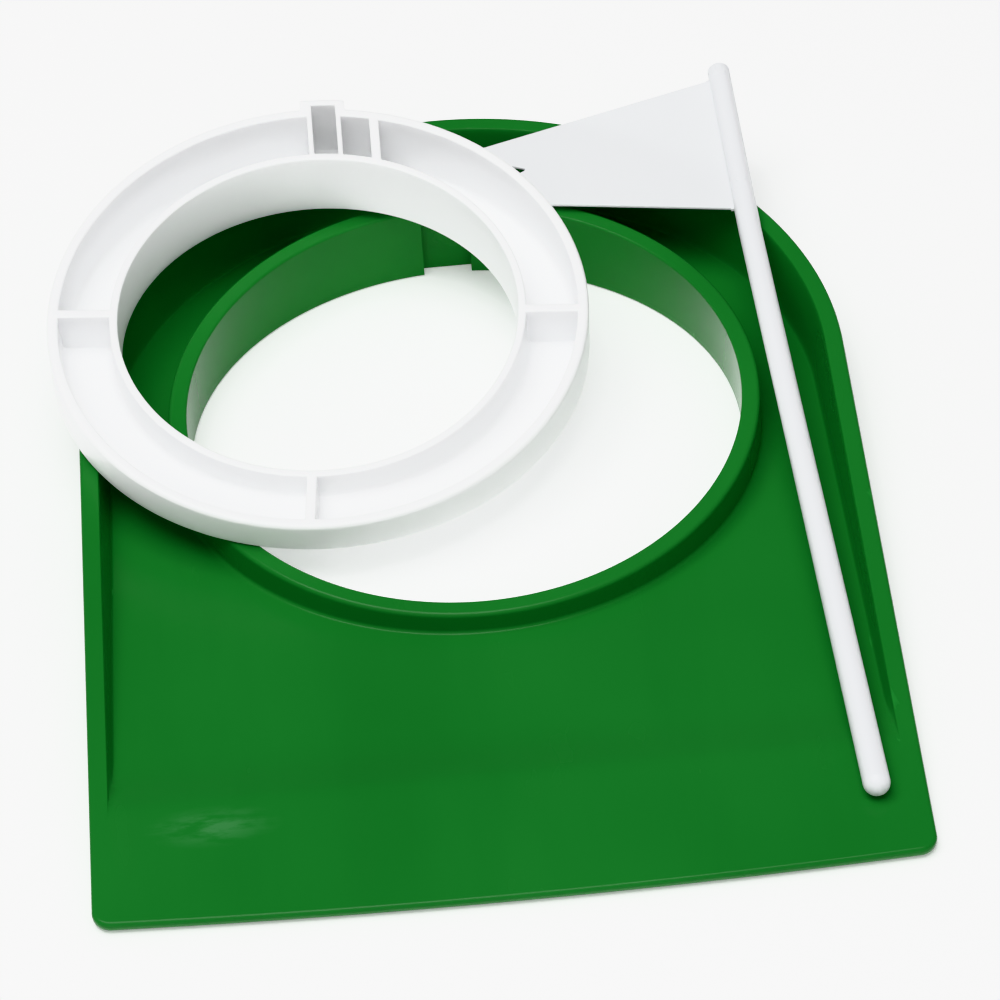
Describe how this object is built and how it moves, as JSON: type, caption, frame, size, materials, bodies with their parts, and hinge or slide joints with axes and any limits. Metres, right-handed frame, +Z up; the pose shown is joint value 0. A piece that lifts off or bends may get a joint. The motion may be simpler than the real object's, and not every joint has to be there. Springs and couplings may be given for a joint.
{
  "type": "golf putting practice cup",
  "caption": "Indoor putting practice cup: D-shaped ramp base with a round hole, loose reducer ring and loose pennant flag, laid out upside down.",
  "frame": {"origin": "on the axis of the hole in the base, where it meets the table that the deck lies on", "axes": "+Z up from the table, +Y from the thin front edge towards the round back, +X to the right"},
  "size_m": [0.1547, 0.2118, 0.0388],
  "materials": {
    "green_plastic": "satin injection-moulded green plastic",
    "white_ring_plastic": "glossy injection-moulded white plastic",
    "white_flag_plastic": "satin injection-moulded white plastic"
  },
  "bodies": {
    "base": {"ramp_deck": "green_plastic", "skirt_wall": "green_plastic", "cup_collar": "green_plastic"},
    "reducer_ring": {"ring_deck": "white_ring_plastic", "ring_inner_wall": "white_ring_plastic", "ring_outer_wall": "white_ring_plastic", "ring_ribs": "white_ring_plastic", "flag_socket": "white_ring_plastic"},
    "flag": {"flag_pole": "white_flag_plastic", "pennant": "white_flag_plastic"}
  },
  "joints": [
    {"name": "ring_lift", "type": "slide", "parent": "base", "child": "reducer_ring", "axis": [0, 0, 1], "range_m": [0, 0.06]},
    {"name": "flag_slide", "type": "slide", "parent": "base", "child": "flag", "axis": [0.9984, 0.0244, 0.0513], "range_m": [0, 0.15]}
  ]
}
